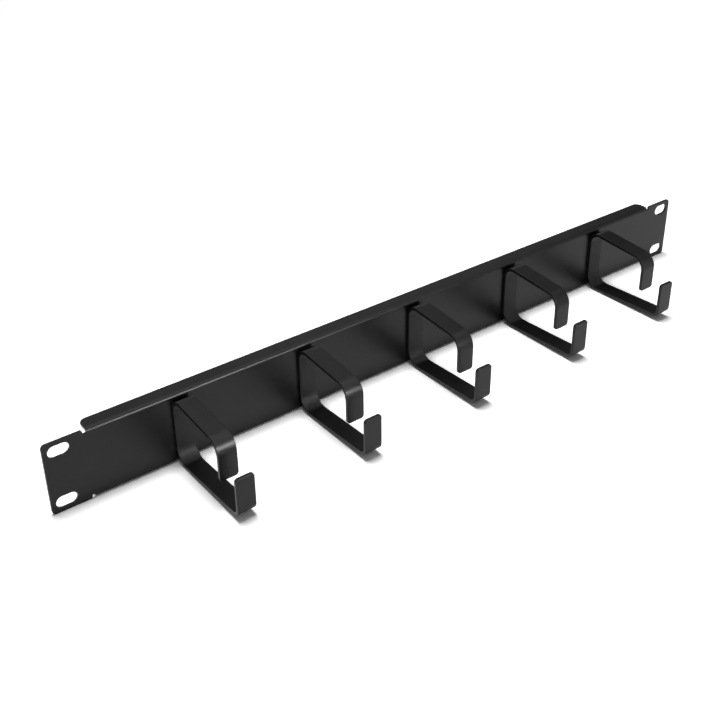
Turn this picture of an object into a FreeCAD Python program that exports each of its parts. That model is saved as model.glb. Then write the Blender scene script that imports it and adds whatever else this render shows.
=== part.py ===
import FreeCAD, Part
import Sketcher
import math
import os

# Horizontal cable manager for a 19-inch rack, one rack unit high.
#
# One folded steel panel carries five open cable rings, spot-welded to its front face. Each
# ring is a single flat strip with four bends. Everything is fixed, so nothing moves.
#
# Frame: the origin is the centre of the four rack slots on the rear face, which lies against
# the rack's rails. +X runs along the panel, -Y points to the front, where the rings stand out,
# and +Z is up. Sizes are in millimetres.

SIZES = {
    # panel
    "panel_length": 482.6,
    "panel_height": 43.7,
    "sheet": 1.5,
    "flange_depth": 10.0,
    "flange_length": 434.0,
    "bend_outer": 2.5,
    "relief_length": 438.0,
    "relief_corner": 1.0,
    "ear_corner": 2.5,
    "ear_inner_corner": 1.0,
    "flange_corner": 4.0,
    # slots for the rack screws
    "slot_spacing_x": 465.1,
    "slot_spacing_z": 31.75,
    "slot_length": 12.0,
    "slot_width": 7.2,
    # rings: depths run forward from the panel's front face, heights from its middle
    "ring_pitch": 81.5,
    "strip_width": 11.3,
    "strip": 2.0,
    "top_depth": 48.0,
    "bottom_depth": 64.0,
    "top_back_height": 21.75,
    "top_front_height": 17.75,
    "bottom_back_height": 21.75,
    "bottom_front_height": 19.0,
    "top_tip_below": 5.8,
    "bottom_tip_above": 5.2,
    "top_front_bend": 9.5,
    "top_back_bend": 8.0,
    "bottom_back_bend": 10.0,
    "bottom_front_bend": 5.0,
    "tip_corner": 2.0,
}
RING_COUNT = 5

ORIGIN_GEOMETRY = -1
POINT_START = 1
POINT_END = 2
POINT_CENTRE = 3

doc = FreeCAD.newDocument("cable_manager")


def make_sheet():
    """Write every driving dimension to the spreadsheet under its own alias."""
    sheet = doc.addObject("Spreadsheet::Sheet", "sizes")
    for row, (alias, value) in enumerate(SIZES.items(), start=1):
        sheet.set("A%d" % row, alias.replace("_", " "))
        sheet.set("B%d" % row, str(value))
        sheet.setAlias("B%d" % row, alias)
    doc.recompute()
    return sheet


def make_body(name):
    body = doc.addObject("PartDesign::Body", name)
    body.Label = name
    return body


def origin_plane(body, role):
    return next(item for item in body.Origin.OriginFeatures if item.Role == role)


def new_sketch(body, name, role):
    """A sketch lying on one of the body's own origin planes."""
    sketch = body.newObject("Sketcher::SketchObject", name)
    sketch.AttachmentSupport = [(origin_plane(body, role), "")]
    sketch.MapMode = "FlatFace"
    return sketch


def vector(x, y):
    return FreeCAD.Vector(x, y, 0)


def constrain(sketch, kind, *where):
    return sketch.addConstraint(Sketcher.Constraint(kind, *where))


def dimension(sketch, name, formula, kind, *where):
    """Add a driving dimension and bind it to the sheet. Its first value comes with where."""
    index = constrain(sketch, kind, *where)
    sketch.renameConstraint(index, name)
    sketch.setExpression("Constraints." + name, formula)


def finish_feature(body, feature, expect):
    """Recompute, make the feature the body's tip and check that it changed the solid as meant.

    expect is +1 for a feature that adds material and -1 for one that removes it.
    """
    before = body.Shape.Volume if body.Shape and not body.Shape.isNull() else 0.0
    body.Tip = feature
    doc.recompute()
    change = body.Shape.Volume - before
    if change * expect <= 0:
        raise RuntimeError("%s of %s changed the volume by %.3f" % (feature.Name, body.Label, change))
    return feature


def pad(body, sketch, name, formula, midplane):
    feature = body.newObject("PartDesign::Pad", name)
    feature.Profile = sketch
    feature.SideType = "Symmetric" if midplane else "One side"
    feature.setExpression("Length", formula)
    return finish_feature(body, feature, +1)


def pocket_through(body, sketch, name):
    feature = body.newObject("PartDesign::Pocket", name)
    feature.Profile = sketch
    feature.SideType = "Symmetric"
    feature.Type = "ThroughAll"
    return finish_feature(body, feature, -1)


def mirror(body, original, name, role, expect):
    feature = body.newObject("PartDesign::Mirrored", name)
    feature.Originals = [original]
    feature.MirrorPlane = (origin_plane(body, role), [""])
    return finish_feature(body, feature, expect)


def edge_names(shape, wanted, expected):
    """Names of the straight edges for which wanted(middle point, direction) is true."""
    names = []
    for number, edge in enumerate(shape.Edges, start=1):
        if edge.Curve.TypeId != "Part::GeomLine":
            continue
        start, end = (vertex.Point for vertex in edge.Vertexes)
        if wanted((start + end) / 2, (end - start).normalize()):
            names.append("Edge%d" % number)
    if len(names) != expected:
        raise RuntimeError("found %d edges where %d were wanted" % (len(names), expected))
    return names


def fillet(body, name, names, formula):
    base = body.Tip
    feature = body.newObject("PartDesign::Fillet", name)
    feature.Base = (base, names)
    feature.setExpression("Radius", formula)
    return feature


def add_polygon(sketch, points):
    """Close the points with straight lines and join the lines end to end."""
    count = len(points)
    for i in range(count):
        sketch.addGeometry(Part.LineSegment(points[i], points[(i + 1) % count]), False)
    for i in range(count):
        constrain(sketch, "Coincident", i, POINT_END, (i + 1) % count, POINT_START)


def add_rectangle(sketch, left, bottom, right, top):
    """Lines 0 to 3 are the bottom, right, top and left sides."""
    corners = [vector(left, bottom), vector(right, bottom), vector(right, top), vector(left, top)]
    add_polygon(sketch, corners)
    for side in (0, 2):
        constrain(sketch, "Horizontal", side)
    for side in (1, 3):
        constrain(sketch, "Vertical", side)


def make_panel(size):
    """The sheet: a flat face with ears, flanges folded back along both long edges, rack slots."""
    body = make_body("rack_panel")
    half_length = size.panel_length / 2
    half_height = size.panel_height / 2

    # The flat blank, ears included. Its rear face stays on the plane Y = 0.
    blank = new_sketch(body, "blank_outline", "XZ_Plane")
    add_rectangle(blank, -half_length, -half_height, half_length, half_height)
    constrain(blank, "Symmetric", 0, POINT_START, 1, POINT_END, ORIGIN_GEOMETRY, POINT_START)
    dimension(blank, "length", "sizes.panel_length", "DistanceX", 0, POINT_START, 0, POINT_END,
              size.panel_length)
    dimension(blank, "height", "sizes.panel_height", "DistanceY", 1, POINT_START, 1, POINT_END,
              size.panel_height)
    pad(body, blank, "blank", "sizes.sheet", midplane=False)

    # Between the ears the blank ends at the bend line. The cut runs a little past each end of
    # the flange, which leaves the relief notch beside each ear.
    half_relief = size.relief_length / 2
    bend_line = half_height - size.bend_outer
    relief = new_sketch(body, "relief_outline", "XZ_Plane")
    add_rectangle(relief, -half_relief, bend_line, half_relief, half_height)
    dimension(relief, "length", "sizes.relief_length", "DistanceX", 0, POINT_START, 0, POINT_END,
              size.relief_length)
    dimension(relief, "right_end", "sizes.relief_length / 2", "DistanceX", ORIGIN_GEOMETRY,
              POINT_START, 0, POINT_END, half_relief)
    dimension(relief, "depth", "sizes.bend_outer", "DistanceY", 1, POINT_START, 1, POINT_END,
              size.bend_outer)
    dimension(relief, "edge", "sizes.panel_height / 2", "DistanceY", ORIGIN_GEOMETRY, POINT_START,
              2, POINT_START, half_height)
    top_relief = pocket_through(body, relief, "top_relief")
    mirror(body, top_relief, "bottom_relief", "XY_Plane", -1)

    def across_sheet(direction):
        return abs(abs(direction.y) - 1) < 1e-6

    def outer_corner(middle, direction):
        return across_sheet(direction) and abs(abs(middle.x) - half_length) < 1e-6

    def relief_bottom(middle, direction):
        return (across_sheet(direction) and abs(abs(middle.x) - half_relief) < 1e-6
                and abs(abs(middle.z) - bend_line) < 1e-6)

    def ear_inner(middle, direction):
        return (across_sheet(direction) and abs(abs(middle.x) - half_relief) < 1e-6
                and abs(abs(middle.z) - half_height) < 1e-6)

    for name, wanted, alias in (("ear_corners", outer_corner, "ear_corner"),
                                ("relief_corners", relief_bottom, "relief_corner"),
                                ("ear_inner_corners", ear_inner, "ear_inner_corner")):
        rounding = fillet(body, name, edge_names(body.Shape, wanted, 4), "sizes." + alias)
        expect = +1 if wanted is relief_bottom else -1
        finish_feature(body, rounding, expect)

    # Bend and flange in one section across the panel: sketch X is the row's Y.
    front = -size.sheet
    bend_end = front + size.bend_outer
    rear = front + size.flange_depth
    inner_top = half_height - size.sheet
    inner_radius = size.bend_outer - size.sheet
    section = new_sketch(body, "flange_section", "YZ_Plane")
    centre = vector(bend_end, bend_line)
    axis = FreeCAD.Vector(0, 0, 1)
    outer_arc = Part.ArcOfCircle(Part.Circle(centre, axis, size.bend_outer), math.pi / 2, math.pi)
    inner_arc = Part.ArcOfCircle(Part.Circle(centre, axis, inner_radius), math.pi / 2, math.pi)
    section.addGeometry(Part.LineSegment(vector(bend_end, half_height), vector(rear, half_height)), False)
    section.addGeometry(Part.LineSegment(vector(rear, half_height), vector(rear, inner_top)), False)
    section.addGeometry(Part.LineSegment(vector(rear, inner_top), vector(bend_end, inner_top)), False)
    section.addGeometry(inner_arc, False)
    section.addGeometry(Part.LineSegment(vector(0, bend_line), vector(front, bend_line)), False)
    section.addGeometry(outer_arc, False)
    constrain(section, "Coincident", 0, POINT_END, 1, POINT_START)
    constrain(section, "Coincident", 1, POINT_END, 2, POINT_START)
    constrain(section, "Tangent", 2, POINT_END, 3, POINT_START)
    constrain(section, "Coincident", 3, POINT_END, 4, POINT_START)
    constrain(section, "Coincident", 4, POINT_END, 5, POINT_END)
    constrain(section, "Tangent", 5, POINT_START, 0, POINT_START)
    constrain(section, "Coincident", 3, POINT_CENTRE, 5, POINT_CENTRE)
    for flat in (0, 2, 4):
        constrain(section, "Horizontal", flat)
    constrain(section, "Vertical", 1)
    dimension(section, "outer_radius", "sizes.bend_outer", "Radius", 5, size.bend_outer)
    dimension(section, "inner_radius", "sizes.bend_outer - sizes.sheet", "Radius", 3, inner_radius)
    dimension(section, "front_face", "sizes.sheet", "DistanceX", 4, POINT_END, ORIGIN_GEOMETRY,
              POINT_START, size.sheet)
    dimension(section, "depth", "sizes.flange_depth - sizes.bend_outer", "DistanceX", 0, POINT_START,
              0, POINT_END, size.flange_depth - size.bend_outer)
    dimension(section, "top", "sizes.panel_height / 2", "DistanceY", ORIGIN_GEOMETRY, POINT_START,
              0, POINT_START, half_height)
    constrain(section, "Horizontal", 4, POINT_END, 5, POINT_CENTRE)
    top_flange = pad(body, section, "top_flange", "sizes.flange_length", midplane=True)
    mirror(body, top_flange, "bottom_flange", "XY_Plane", +1)

    def flange_corner(middle, direction):
        return (abs(abs(direction.z) - 1) < 1e-6 and abs(middle.y - rear) < 1e-6
                and abs(abs(middle.x) - size.flange_length / 2) < 1e-6)

    rounding = fillet(body, "flange_corners", edge_names(body.Shape, flange_corner, 4),
                      "sizes.flange_corner")
    finish_feature(body, rounding, -1)

    # The two slots of the right ear, mirrored to the left one.
    slots = new_sketch(body, "slot_outlines", "XZ_Plane")
    straight = (size.slot_length - size.slot_width) / 2
    radius = size.slot_width / 2
    for row, side in enumerate((1, -1)):
        first = 4 * row
        name = "upper" if side > 0 else "lower"
        middle = vector(size.slot_spacing_x / 2, side * size.slot_spacing_z / 2)
        left = middle - vector(straight, 0)
        right = middle + vector(straight, 0)
        slots.addGeometry(Part.LineSegment(left + vector(0, radius), right + vector(0, radius)), False)
        slots.addGeometry(Part.ArcOfCircle(Part.Circle(right, axis, radius), -math.pi / 2, math.pi / 2),
                          False)
        slots.addGeometry(Part.LineSegment(right - vector(0, radius), left - vector(0, radius)), False)
        slots.addGeometry(Part.ArcOfCircle(Part.Circle(left, axis, radius), math.pi / 2,
                                           3 * math.pi / 2), False)
        constrain(slots, "Tangent", first, POINT_END, first + 1, POINT_END)
        constrain(slots, "Tangent", first + 1, POINT_START, first + 2, POINT_START)
        constrain(slots, "Tangent", first + 2, POINT_END, first + 3, POINT_END)
        constrain(slots, "Tangent", first + 3, POINT_START, first, POINT_START)
        constrain(slots, "Horizontal", first)
        constrain(slots, "Equal", first + 1, first + 3)
        dimension(slots, name + "_radius", "sizes.slot_width / 2", "Radius", first + 1, radius)
        dimension(slots, name + "_straight", "sizes.slot_length - sizes.slot_width", "DistanceX",
                  first, POINT_START, first, POINT_END, size.slot_length - size.slot_width)
        dimension(slots, name + "_inner_end",
                  "(sizes.slot_spacing_x - sizes.slot_length + sizes.slot_width) / 2", "DistanceX",
                  ORIGIN_GEOMETRY, POINT_START, first + 3, POINT_CENTRE, left.x)
        height_points = [ORIGIN_GEOMETRY, POINT_START, first + 3, POINT_CENTRE]
        if side < 0:
            height_points = height_points[2:] + height_points[:2]
        dimension(slots, name + "_height", "sizes.slot_spacing_z / 2", "DistanceY", *height_points,
                  size.slot_spacing_z / 2)
    right_slots = pocket_through(body, slots, "right_slots")
    mirror(body, right_slots, "left_slots", "YZ_Plane", -1)
    return body


def strip_path(corners, radii):
    """Straight runs and tangent arcs from the first corner to the last, in order.

    Each corner between the ends is rounded to its own radius. All turns are clockwise.
    """
    axis = FreeCAD.Vector(0, 0, 1)
    pieces = []
    start = corners[0]
    for before, corner, after, radius in zip(corners, corners[1:], corners[2:], radii):
        towards = (before - corner).normalize()
        onwards = (after - corner).normalize()
        half_angle = towards.getAngle(onwards) / 2
        reach = radius / math.tan(half_angle)
        arc_start = corner + towards * reach
        arc_end = corner + onwards * reach
        centre = corner + (towards + onwards).normalize() * (radius / math.sin(half_angle))
        begin = math.atan2(arc_end.y - centre.y, arc_end.x - centre.x)
        end = math.atan2(arc_start.y - centre.y, arc_start.x - centre.x)
        pieces.append(Part.LineSegment(start, arc_start))
        pieces.append(Part.ArcOfCircle(Part.Circle(centre, axis, radius), begin, end))
        start = arc_end
    pieces.append(Part.LineSegment(start, corners[-1]))
    return pieces


def offset_corners(corners, distance):
    """The corners of the same open polygon moved inwards by distance, ends kept level."""
    lines = []
    for begin, end in zip(corners, corners[1:]):
        along = (end - begin).normalize()
        inwards = vector(along.y, -along.x)
        lines.append((begin + inwards * distance, along))
    moved = [lines[0][0]]
    for (point, along), (other, onwards) in zip(lines, lines[1:]):
        gap = other - point
        cross = along.x * onwards.y - along.y * onwards.x
        moved.append(point + along * ((gap.x * onwards.y - gap.y * onwards.x) / cross))
    moved.append(lines[-1][0] + (corners[-1] - corners[-2]))
    return moved


def make_ring(size, number):
    """One ring: the outline of the bent strip on the YZ plane, padded to the strip's width."""
    body = make_body("cable_ring_%d" % number)
    outline = new_sketch(body, "bent_strip_outline", "YZ_Plane")

    # Outer corners before rounding: top leg's tip, top front, top back, bottom back, bottom
    # front, bottom leg's tip. Sketch X is the row's Y, so the front is at negative X.
    outer = [
        vector(-size.top_depth, -size.top_tip_below),
        vector(-size.top_depth, size.top_front_height),
        vector(0, size.top_back_height),
        vector(0, -size.bottom_back_height),
        vector(-size.bottom_depth, -size.bottom_front_height),
        vector(-size.bottom_depth, size.bottom_tip_above),
    ]
    bends = ["top_front_bend", "top_back_bend", "bottom_back_bend", "bottom_front_bend"]
    outer_radii = [getattr(size, bend) for bend in bends]
    inner = offset_corners(outer, size.strip)
    inner_radii = [radius - size.strip for radius in outer_radii]

    outer_path = strip_path(outer, outer_radii)
    inner_path = strip_path(inner, inner_radii)
    per_path = len(outer_path)
    for piece in outer_path + inner_path:
        outline.addGeometry(piece, False)
    # The strip turns clockwise, so each arc's own end is where the path enters it.
    for first in (0, per_path):
        for arc in range(first + 1, first + per_path, 2):
            constrain(outline, "Tangent", arc - 1, POINT_END, arc, POINT_END)
            constrain(outline, "Tangent", arc, POINT_START, arc + 1, POINT_START)
    for leg in (0, 4, 8):
        constrain(outline, "Vertical", leg)
    for leg in (0, 8):
        constrain(outline, "Vertical", per_path + leg)
    for turn, bend in enumerate(bends):
        arc = 2 * turn + 1
        constrain(outline, "Coincident", arc, POINT_CENTRE, per_path + arc, POINT_CENTRE)
        dimension(outline, bend, "sizes." + bend, "Radius", arc, outer_radii[turn])
        dimension(outline, bend + "_inside", "sizes.%s - sizes.strip" % bend, "Radius",
                  per_path + arc, inner_radii[turn])

    # Square ends across the strip at both tips.
    last = per_path - 1
    top_end = outline.addGeometry(Part.LineSegment(outer[0], inner[0]), False)
    bottom_end = outline.addGeometry(Part.LineSegment(outer[-1], inner[-1]), False)
    constrain(outline, "Coincident", top_end, POINT_START, 0, POINT_START)
    constrain(outline, "Coincident", top_end, POINT_END, per_path, POINT_START)
    constrain(outline, "Coincident", bottom_end, POINT_START, last, POINT_END)
    constrain(outline, "Coincident", bottom_end, POINT_END, per_path + last, POINT_END)
    constrain(outline, "Horizontal", top_end)
    constrain(outline, "Horizontal", bottom_end)

    # Depths of the two front legs, the back leg on the panel, and the two tips.
    dimension(outline, "top_depth", "sizes.top_depth", "DistanceX", 0, POINT_START,
              ORIGIN_GEOMETRY, POINT_START, size.top_depth)
    dimension(outline, "bottom_depth", "sizes.bottom_depth", "DistanceX", last, POINT_END,
              ORIGIN_GEOMETRY, POINT_START, size.bottom_depth)
    constrain(outline, "PointOnObject", 4, POINT_START, -2)
    dimension(outline, "top_tip", "sizes.top_tip_below", "DistanceY", 0, POINT_START,
              ORIGIN_GEOMETRY, POINT_START, size.top_tip_below)
    dimension(outline, "bottom_tip", "sizes.bottom_tip_above", "DistanceY", ORIGIN_GEOMETRY,
              POINT_START, last, POINT_END, size.bottom_tip_above)

    # Heights of the four outer corners, held by points where the straight runs would meet.
    heights = ["top_front_height", "top_back_height", "bottom_back_height", "bottom_front_height"]
    for turn, (height, corner) in enumerate(zip(heights, outer[1:-1])):
        point = outline.addGeometry(Part.Point(corner), True)
        constrain(outline, "PointOnObject", point, POINT_START, 2 * turn)
        constrain(outline, "PointOnObject", point, POINT_START, 2 * turn + 2)
        ends = [ORIGIN_GEOMETRY, POINT_START, point, POINT_START]
        if corner.y < 0:
            ends = ends[2:] + ends[:2]
        dimension(outline, height, "sizes." + height, "DistanceY", *ends, abs(corner.y))
    pad(body, outline, "bent_strip", "sizes.strip_width", midplane=True)

    def tip_corner(middle, direction):
        at_tip = (abs(middle.z + size.top_tip_below) < 1e-6
                  or abs(middle.z - size.bottom_tip_above) < 1e-6)
        return abs(abs(direction.y) - 1) < 1e-6 and at_tip

    rounding = fillet(body, "tip_corners", edge_names(body.Shape, tip_corner, 4), "sizes.tip_corner")
    finish_feature(body, rounding, -1)

    # The ring's own zero is the panel's front face. The middle ring is on the panel's centre.
    body.Placement = FreeCAD.Placement(FreeCAD.Vector(0, 0, 0), FreeCAD.Rotation())
    steps = number - (RING_COUNT + 1) / 2
    body.setExpression("Placement.Base.x", "sizes.ring_pitch * %g" % steps)
    body.setExpression("Placement.Base.y", "-sizes.sheet")
    return body


def check_document(bodies):
    for item in doc.Objects:
        if "Invalid" in item.State or "Error" in item.State:
            raise RuntimeError("%s failed to compute: %s" % (item.Name, item.State))
    for body in bodies:
        if body.Shape.isNull() or not body.Shape.isValid() or len(body.Shape.Solids) != 1:
            raise RuntimeError(body.Label + " is not one valid solid")


size = make_sheet()
bodies = [make_panel(size)]
for number in range(1, RING_COUNT + 1):
    bodies.append(make_ring(size, number))
doc.recompute()
check_document(bodies)

os.makedirs("parts", exist_ok=True)
for body in bodies:
    body.Shape.exportStep("parts/%s.step" % body.Label)
    box = body.Shape.BoundBox
    print("%-14s %9.1f mm3  x %.2f..%.2f  y %.2f..%.2f  z %.2f..%.2f" % (
        body.Label, body.Shape.Volume, box.XMin, box.XMax, box.YMin, box.YMax, box.ZMin, box.ZMax))
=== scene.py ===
"""Looks of a horizontal cable manager: a powder-coated rack panel with five cable rings."""

import math

import bpy
from mathutils import Matrix, Vector


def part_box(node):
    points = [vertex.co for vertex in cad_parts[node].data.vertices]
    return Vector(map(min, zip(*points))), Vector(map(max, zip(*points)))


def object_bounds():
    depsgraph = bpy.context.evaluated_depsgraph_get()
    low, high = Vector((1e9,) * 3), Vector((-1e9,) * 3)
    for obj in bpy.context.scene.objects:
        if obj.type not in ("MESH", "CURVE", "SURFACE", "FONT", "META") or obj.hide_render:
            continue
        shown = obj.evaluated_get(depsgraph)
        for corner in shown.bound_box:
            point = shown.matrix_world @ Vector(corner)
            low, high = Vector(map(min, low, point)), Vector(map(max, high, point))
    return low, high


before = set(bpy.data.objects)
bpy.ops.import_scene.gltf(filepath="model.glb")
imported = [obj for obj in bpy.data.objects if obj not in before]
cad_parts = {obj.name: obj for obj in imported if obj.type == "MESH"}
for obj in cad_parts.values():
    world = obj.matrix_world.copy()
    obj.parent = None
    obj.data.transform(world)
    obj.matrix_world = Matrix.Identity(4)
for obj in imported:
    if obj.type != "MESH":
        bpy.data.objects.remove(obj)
cad_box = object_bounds()
MM = 0.001
WHITE = (1.0, 1.0, 1.0, 1.0)

# The coat: a nearly black satin powder coat on cut and bent steel. Its patterns are shifted from
# one piece to the next, and it is duller inside the rings, where the powder lies thinner.
COAT_DARK = (0.0042, 0.0042, 0.0045, 1.0)
COAT_LIGHT = (0.0066, 0.0066, 0.0070, 1.0)
COAT_ROUGHNESS = (0.31, 0.37)
COAT_SPECULAR_LEVEL = 0.22
INSIDE_ROUGHNESS = 0.22            # added to the coat's own
INSIDE_FACING = (0.1, 0.7)         # cosine of the angle to the ring's middle, none to full
PEEL_SIZE = 1.3 * MM
PEEL_HEIGHT = 0.010 * MM
GRAIN_SIZE = 0.22 * MM
GRAIN_HEIGHT = 0.0035 * MM
MOTTLE_SIZE = 30 * MM
PATTERN_STEP = (0.37, 0.11, 0.23)  # metres from one piece's patterns to the next one's
NOISE_RANGE = (0.3, 0.7)           # most of what a noise node gives

# Rounding of the cut edges. The sheet's is small, as it has to fit beside the relief notches.
SHEET_EDGE_RADIUS = 0.10 * MM
STRIP_EDGE_RADIUS = 0.35 * MM
EDGE_SEGMENTS = 3
EDGE_ANGLE = math.radians(35)
FLAT_ANGLE = math.radians(0.2)
WELD_GAP = 0.002 * MM

# Spot welds: two round marks behind each ring, on the panel's rear face.
WELD_MARK_RADIUS = 2.6 * MM
WELD_MARK_FLOOR = 0.55             # share of the radius that is the mark's flat floor
WELD_MARK_DEPTH = 0.12 * MM
WELD_MARK_HEIGHTS = (-9 * MM, 9 * MM)

# The floor shows its light and shadow near the object and turns plain white further off,
# between the two distances from the origin. Seen or mirrored, its colour is lifted to white.
FLOOR_SIZE = 8.0
FLOOR_ALBEDO = 0.80
FLOOR_SEEN = 1.48
FLOOR_PLAIN = (0.5, 1.0)

# Softboxes. Each is turned to a place that lies along the panel from its middle, and stands
# from there at an azimuth (from the front towards the right) and an elevation, in degrees.
# Its use is the light itself or a highlight in the gloss. Lengths are in metres.
SOFTBOX_DEPTH = -0.05              # the place's y, between the panel and the rings' front legs
SOFTBOXES = {
    "overhead": dict(along=0.0, azimuth=188, elevation=83, distance=2.50, width=0.90,
                     height=0.78, radiance=23.2, spread=180, use="light"),
    "key": dict(along=-0.163, azimuth=23, elevation=22.5, distance=0.90, width=0.30,
                height=0.26, radiance=62.0, spread=30, use="gloss"),
    "left_strip": dict(along=0.0, azimuth=-52, elevation=16, distance=0.90, width=0.30,
                       height=0.40, radiance=20.0, spread=180, use="gloss"),
}

# The room: an even fill for the diffuse light, and what the gloss mirrors towards its front,
# sides and back, as pairs of elevation in degrees and brightness. The walls blend into each
# other between two azimuths. To the camera the room is plain white.
ROOM_FILL = 0.17
ROOM_FRONT = ((0, 1.1), (26, 1.1), (40, 0.5), (49, 2.15), (90, 2.15))
ROOM_SIDE = ((0, 1.0), (5, 0.9), (10, 0.03), (48, 0.03), (53, 2.15), (90, 2.15))
ROOM_BACK = ((0, 1.0), (7, 0.8), (14, 0.45), (46, 0.45), (54, 2.15), (90, 2.15))
FRONT_TO_SIDE = (60, 72)
SIDE_TO_BACK = (125, 141)

# The camera, on an orbit round a point above the panel, in the plane of its front face.
CAMERA_AIM = Vector((-41.56 * MM, -1.5 * MM, 44.1 * MM))
CAMERA_DISTANCE = 0.63666
CAMERA_AZIMUTH = math.radians(-36.88)
CAMERA_ELEVATION = math.radians(28.69)
CAMERA_ROLL = math.radians(-0.744)
CAMERA_LENS = 54.61                # millimetres, as is the sensor's width
CAMERA_SENSOR = 36.0
CAMERA_SHIFT = -0.1
CAMERA_CLIP = (0.01, 50.0)


def direction(azimuth, elevation):
    """Unit vector towards an azimuth, from the front to the right, and an elevation."""
    level = math.cos(elevation)
    return Vector((math.sin(azimuth) * level, -math.cos(azimuth) * level,
                   math.sin(elevation)))


def add_node(tree, kind, inputs=None, **settings):
    """Add a node with these settings and with these values on its inputs."""
    node = tree.nodes.new(kind)
    for key, value in settings.items():
        setattr(node, key, value)
    for key, value in (inputs or {}).items():
        node.inputs[key].default_value = value
    return node


def noise(tree, place, size, detail=2.0, roughness=0.5):
    """Noise whose features are about size across."""
    node = add_node(tree, "ShaderNodeTexNoise",
                    {"Scale": 1.0 / size, "Detail": detail, "Roughness": roughness})
    tree.links.new(place, node.inputs["Vector"])
    return node.outputs["Fac"]


def between(tree, value, low, high, source=NOISE_RANGE):
    """Map a value, which runs over the source range, to a number from low to high."""
    node = add_node(tree, "ShaderNodeMapRange", {"From Min": source[0], "From Max": source[1],
                                                 "To Min": low, "To Max": high})
    tree.links.new(value, node.inputs["Value"])
    return node.outputs["Result"]


def bump(tree, height, distance, before=None):
    """A bumped normal, on top of the one before it."""
    node = add_node(tree, "ShaderNodeBump", {"Strength": 1.0, "Distance": distance})
    tree.links.new(height, node.inputs["Height"])
    if before is not None:
        tree.links.new(before, node.inputs["Normal"])
    return node.outputs["Normal"]


def blend(tree, factor, first, second):
    """Mix two colours."""
    node = add_node(tree, "ShaderNodeMix", data_type="RGBA")
    tree.links.new(factor, node.inputs["Factor"])
    tree.links.new(first, node.inputs["A"])
    tree.links.new(second, node.inputs["B"])
    return node.outputs["Result"]


def mix_shaders(tree, factor, first, second):
    """Mix the shaders of two nodes."""
    node = add_node(tree, "ShaderNodeMixShader")
    tree.links.new(factor, node.inputs["Fac"])
    tree.links.new(first.outputs[0], node.inputs[1])
    tree.links.new(second.outputs[0], node.inputs[2])
    return node


def ray_is(tree, *kinds):
    """1 for rays of these kinds, such as Camera or Glossy, and 0 for the rest."""
    path = add_node(tree, "ShaderNodeLightPath")
    total = path.outputs["Is %s Ray" % kinds[0]]
    for kind in kinds[1:]:
        larger = add_node(tree, "ShaderNodeMath", operation="MAXIMUM")
        tree.links.new(total, larger.inputs[0])
        tree.links.new(path.outputs["Is %s Ray" % kind], larger.inputs[1])
        total = larger.outputs["Value"]
    return total


def powder_coat(name, shift, weld_centres=(), middle=None):
    """Satin black powder coat: faint mottling, orange peel and a fine grain.

    shift moves the patterns, so that no two pieces are alike. weld_centres are the places of
    spot-weld marks. middle is the middle of a ring, whose inside is duller.
    """
    material = bpy.data.materials.new(name)
    material.use_nodes = True
    tree = material.node_tree
    tree.nodes.clear()
    where = add_node(tree, "ShaderNodeTexCoord").outputs["Object"]
    moved = add_node(tree, "ShaderNodeVectorMath", {1: shift}, operation="ADD")
    tree.links.new(where, moved.inputs[0])
    place = moved.outputs["Vector"]

    mottle = noise(tree, place, MOTTLE_SIZE, detail=4.0, roughness=0.6)
    colour = add_node(tree, "ShaderNodeMix", {"A": COAT_DARK, "B": COAT_LIGHT},
                      data_type="RGBA")
    tree.links.new(between(tree, mottle, 0.0, 1.0), colour.inputs["Factor"])

    normal = bump(tree, noise(tree, place, PEEL_SIZE, detail=1.0), PEEL_HEIGHT)
    normal = bump(tree, noise(tree, place, GRAIN_SIZE, detail=2.0), GRAIN_HEIGHT, normal)
    if weld_centres:
        normal = bump(tree, weld_marks(tree, where, weld_centres), WELD_MARK_DEPTH, normal)

    roughness = between(tree, mottle, *COAT_ROUGHNESS)
    if middle is not None:
        dull = add_node(tree, "ShaderNodeMath", {1: INSIDE_ROUGHNESS},
                        operation="MULTIPLY_ADD")
        tree.links.new(facing_inside(tree, where, middle), dull.inputs[0])
        tree.links.new(roughness, dull.inputs[2])
        roughness = dull.outputs["Value"]

    shader = add_node(tree, "ShaderNodeBsdfPrincipled",
                      {"Specular IOR Level": COAT_SPECULAR_LEVEL, "Metallic": 0.0})
    tree.links.new(colour.outputs["Result"], shader.inputs["Base Color"])
    tree.links.new(roughness, shader.inputs["Roughness"])
    tree.links.new(normal, shader.inputs["Normal"])
    output = add_node(tree, "ShaderNodeOutputMaterial")
    tree.links.new(shader.outputs["BSDF"], output.inputs["Surface"])
    return material


def facing_inside(tree, where, middle):
    """1 on a ring's legs where they face its middle, 0 on its arms and where it faces away."""
    inward = add_node(tree, "ShaderNodeVectorMath", {0: middle}, operation="SUBTRACT")
    tree.links.new(where, inward.inputs[1])
    level = add_node(tree, "ShaderNodeVectorMath", {1: (0.0, 1.0, 0.0)}, operation="MULTIPLY")
    tree.links.new(inward.outputs["Vector"], level.inputs[0])
    unit = add_node(tree, "ShaderNodeVectorMath", operation="NORMALIZE")
    tree.links.new(level.outputs["Vector"], unit.inputs[0])
    cosine = add_node(tree, "ShaderNodeVectorMath", operation="DOT_PRODUCT")
    tree.links.new(unit.outputs["Vector"], cosine.inputs[0])
    normal = add_node(tree, "ShaderNodeTexCoord").outputs["Normal"]
    tree.links.new(normal, cosine.inputs[1])
    return between(tree, cosine.outputs["Value"], 0.0, 1.0, source=INSIDE_FACING)


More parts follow.
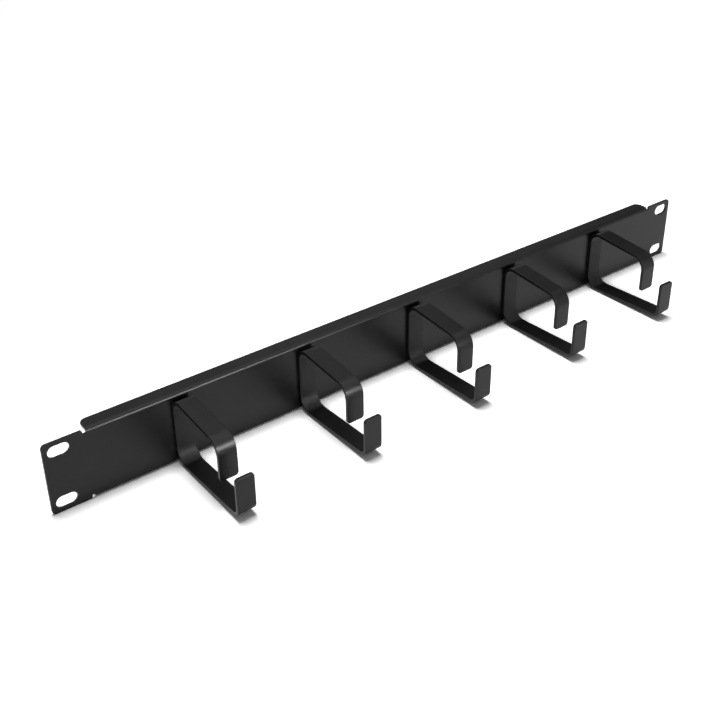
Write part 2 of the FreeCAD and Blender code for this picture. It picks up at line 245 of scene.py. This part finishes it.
def weld_marks(tree, where, centres):
    """Height of shallow round marks, 0 on a mark's floor and 1 away from every mark."""
    height = None
    for centre in centres:
        away = add_node(tree, "ShaderNodeVectorMath", {1: centre}, operation="DISTANCE")
        tree.links.new(where, away.inputs[0])
        mark = between(tree, away.outputs["Value"], 0.0, 1.0,
                       source=(WELD_MARK_FLOOR * WELD_MARK_RADIUS, WELD_MARK_RADIUS))
        if height is None:
            height = mark
            continue
        lowest = add_node(tree, "ShaderNodeMath", operation="MINIMUM")
        tree.links.new(height, lowest.inputs[0])
        tree.links.new(mark, lowest.inputs[1])
        height = lowest.outputs["Value"]
    return height


def soften_edges(item, radius):
    """Round the cut edges by modifiers, which leave the mesh itself as it is.

    Split vertices are joined and flat faces merged first, because their thin triangles would
    hold the rounding back. The last modifier keeps the large faces evenly shaded.
    """
    weld = item.modifiers.new("weld", "WELD")
    weld.merge_threshold = WELD_GAP
    flat = item.modifiers.new("flat_faces", "DECIMATE")
    flat.decimate_type = "DISSOLVE"
    flat.angle_limit = FLAT_ANGLE
    bevel = item.modifiers.new("coated_edge", "BEVEL")
    bevel.width = radius
    bevel.segments = EDGE_SEGMENTS
    bevel.limit_method = "ANGLE"
    bevel.angle_limit = EDGE_ANGLE
    bevel.miter_outer = "MITER_ARC"
    bevel.use_clamp_overlap = False
    even = item.modifiers.new("even_shading", "WEIGHTED_NORMAL")
    even.mode = "FACE_AREA_WITH_ANGLE"


def dress(item, material, edge_radius):
    """Give a piece its material and its rounded edges."""
    item.data.materials.clear()
    item.data.materials.append(material)
    soften_edges(item, edge_radius)


def make_floor(height):
    """A plain white floor that keeps the shadow. Seen or mirrored, it is as bright as the room."""
    half = FLOOR_SIZE / 2
    mesh = bpy.data.meshes.new("floor")
    corners = [(-half, -half, height), (half, -half, height),
               (half, half, height), (-half, half, height)]
    mesh.from_pydata(corners, [], [(0, 1, 2, 3)])
    floor = bpy.data.objects.new("floor", mesh)
    bpy.context.scene.collection.objects.link(floor)

    material = bpy.data.materials.new("studio_floor")
    material.use_nodes = True
    tree = material.node_tree
    tree.nodes.clear()
    diffuse = add_node(tree, "ShaderNodeBsdfDiffuse")
    seen = ray_is(tree, "Camera", "Glossy", "Transmission")
    shade = between(tree, seen, FLOOR_ALBEDO, FLOOR_SEEN, source=(0.0, 1.0))
    tree.links.new(shade, diffuse.inputs["Color"])
    plain = add_node(tree, "ShaderNodeEmission", {"Color": WHITE, "Strength": 1.0})
    away = add_node(tree, "ShaderNodeVectorMath", operation="LENGTH")
    tree.links.new(add_node(tree, "ShaderNodeTexCoord").outputs["Object"], away.inputs[0])
    far = between(tree, away.outputs["Value"], 0.0, 1.0, source=FLOOR_PLAIN)
    far_and_seen = add_node(tree, "ShaderNodeMath", operation="MULTIPLY")
    tree.links.new(far, far_and_seen.inputs[0])
    tree.links.new(seen, far_and_seen.inputs[1])
    surface = mix_shaders(tree, far_and_seen.outputs["Value"], diffuse, plain)
    output = add_node(tree, "ShaderNodeOutputMaterial")
    tree.links.new(surface.outputs[0], output.inputs["Surface"])
    mesh.materials.append(material)


def elevation_ramp(tree, share, levels):
    """Brightness by elevation. share is the elevation as a share of 90 degrees."""
    ramp = add_node(tree, "ShaderNodeValToRGB")
    stops = ramp.color_ramp.elements
    while len(stops) < len(levels):
        stops.new(0.5)             # set to its own place below
    for stop, (elevation, level) in zip(stops, levels):
        stop.position = elevation / 90
        stop.color = (level, level, level, 1.0)
    tree.links.new(share, ramp.inputs["Fac"])
    return ramp.outputs["Color"]


def past_azimuth(tree, from_back, azimuths):
    """0 before the first of two azimuths and 1 past the second.

    from_back is the angle from straight behind the object, and so pi straight in front of it.
    """
    source = [math.radians(180 - azimuth) for azimuth in azimuths]
    return between(tree, from_back, 0.0, 1.0, source=source)


def make_room():
    """A white room: plain white to look at, an even fill, and walls of its own to mirror."""
    world = bpy.data.worlds.new("white_room")
    bpy.context.scene.world = world
    world.use_nodes = True
    tree = world.node_tree
    tree.nodes.clear()
    parts = add_node(tree, "ShaderNodeSeparateXYZ")
    towards = add_node(tree, "ShaderNodeTexCoord").outputs["Generated"]
    tree.links.new(towards, parts.inputs["Vector"])
    height = add_node(tree, "ShaderNodeMath", operation="ARCSINE")
    tree.links.new(parts.outputs["Z"], height.inputs[0])
    share = between(tree, height.outputs["Value"], 0.0, 1.0, source=(0.0, math.pi / 2))

    turn = add_node(tree, "ShaderNodeMath", operation="ARCTAN2")
    tree.links.new(parts.outputs["X"], turn.inputs[0])
    tree.links.new(parts.outputs["Y"], turn.inputs[1])
    from_back = add_node(tree, "ShaderNodeMath", operation="ABSOLUTE")
    tree.links.new(turn.outputs["Value"], from_back.inputs[0])
    to_side = past_azimuth(tree, from_back.outputs["Value"], FRONT_TO_SIDE)
    to_back = past_azimuth(tree, from_back.outputs["Value"], SIDE_TO_BACK)
    walls = blend(tree, to_side, elevation_ramp(tree, share, ROOM_FRONT),
                  elevation_ramp(tree, share, ROOM_SIDE))
    walls = blend(tree, to_back, walls, elevation_ramp(tree, share, ROOM_BACK))

    fill = add_node(tree, "ShaderNodeBackground", {"Color": WHITE, "Strength": ROOM_FILL})
    mirrored = add_node(tree, "ShaderNodeBackground")
    tree.links.new(walls, mirrored.inputs["Color"])
    seen = add_node(tree, "ShaderNodeBackground", {"Color": WHITE})
    light = mix_shaders(tree, ray_is(tree, "Glossy", "Transmission"), fill, mirrored)
    light = mix_shaders(tree, ray_is(tree, "Camera"), light, seen)
    output = add_node(tree, "ShaderNodeOutputWorld")
    tree.links.new(light.outputs[0], output.inputs["Surface"])


def make_softbox(name, along, azimuth, elevation, distance, width, height, radiance, spread,
                 use):
    """An area light turned to the object, for the light itself or for a gloss highlight.

    A spread below 180 degrees gathers the light, as a softbox with a grid does, and its power
    is lowered to keep the radiance straight ahead.
    """
    light = bpy.data.lights.new(name, "AREA")
    light.shape = "RECTANGLE"
    light.size = width
    light.size_y = height
    light.spread = math.radians(spread)
    gather = 1.0
    if spread < 180:
        half = math.radians(spread / 2)
        gather = math.tan(half) / (math.tan(half) - half)
    light.energy = radiance * math.pi * width * height / gather
    item = bpy.data.objects.new(name, light)
    item.visible_diffuse = use == "light"
    item.visible_glossy = use == "gloss"
    away = direction(math.radians(azimuth), math.radians(elevation))
    item.location = Vector((along, SOFTBOX_DEPTH, 0.0)) + away * distance
    item.rotation_euler = away.to_track_quat("Z", "Y").to_euler()
    bpy.context.scene.collection.objects.link(item)


def make_camera():
    """A camera on an orbit round CAMERA_AIM, rolled about its own view line."""
    back = direction(CAMERA_AZIMUTH, CAMERA_ELEVATION)
    right = Vector((math.cos(CAMERA_AZIMUTH), math.sin(CAMERA_AZIMUTH), 0.0))
    upright = Matrix((right, back.cross(right), back)).transposed().to_4x4()
    data = bpy.data.cameras.new("camera")
    data.sensor_width = CAMERA_SENSOR
    data.lens = CAMERA_LENS
    data.shift_y = CAMERA_SHIFT
    data.clip_start, data.clip_end = CAMERA_CLIP
    camera = bpy.data.objects.new("camera", data)
    place = Matrix.Translation(CAMERA_AIM + back * CAMERA_DISTANCE)
    camera.matrix_world = place @ upright @ Matrix.Rotation(CAMERA_ROLL, 4, "Z")
    bpy.context.scene.collection.objects.link(camera)
    bpy.context.scene.camera = camera


ring_names = sorted(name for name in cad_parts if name.startswith("cable_ring"))
weld_centres = []
for number, name in enumerate(ring_names):
    low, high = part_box(name)
    middle = (low + high) / 2
    for height in WELD_MARK_HEIGHTS:
        weld_centres.append((middle.x, 0.0, height))
    step_x, step_y, step_z = PATTERN_STEP
    shift = (step_x * (number + 1), step_y * number, step_z * number)
    coat = powder_coat("black_powder_coat_" + name, shift,
                       middle=(middle.x, middle.y, middle.z))
    dress(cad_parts[name], coat, STRIP_EDGE_RADIUS)
panel_coat = powder_coat("black_powder_coat_rack_panel", (0.0, 0.0, 0.0), weld_centres)
dress(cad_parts["rack_panel"], panel_coat, SHEET_EDGE_RADIUS)

make_floor(cad_box[0].z)
make_room()
for name, settings in SOFTBOXES.items():
    make_softbox(name, **settings)
make_camera()

scene = bpy.context.scene
scene.view_settings.view_transform = "Standard"
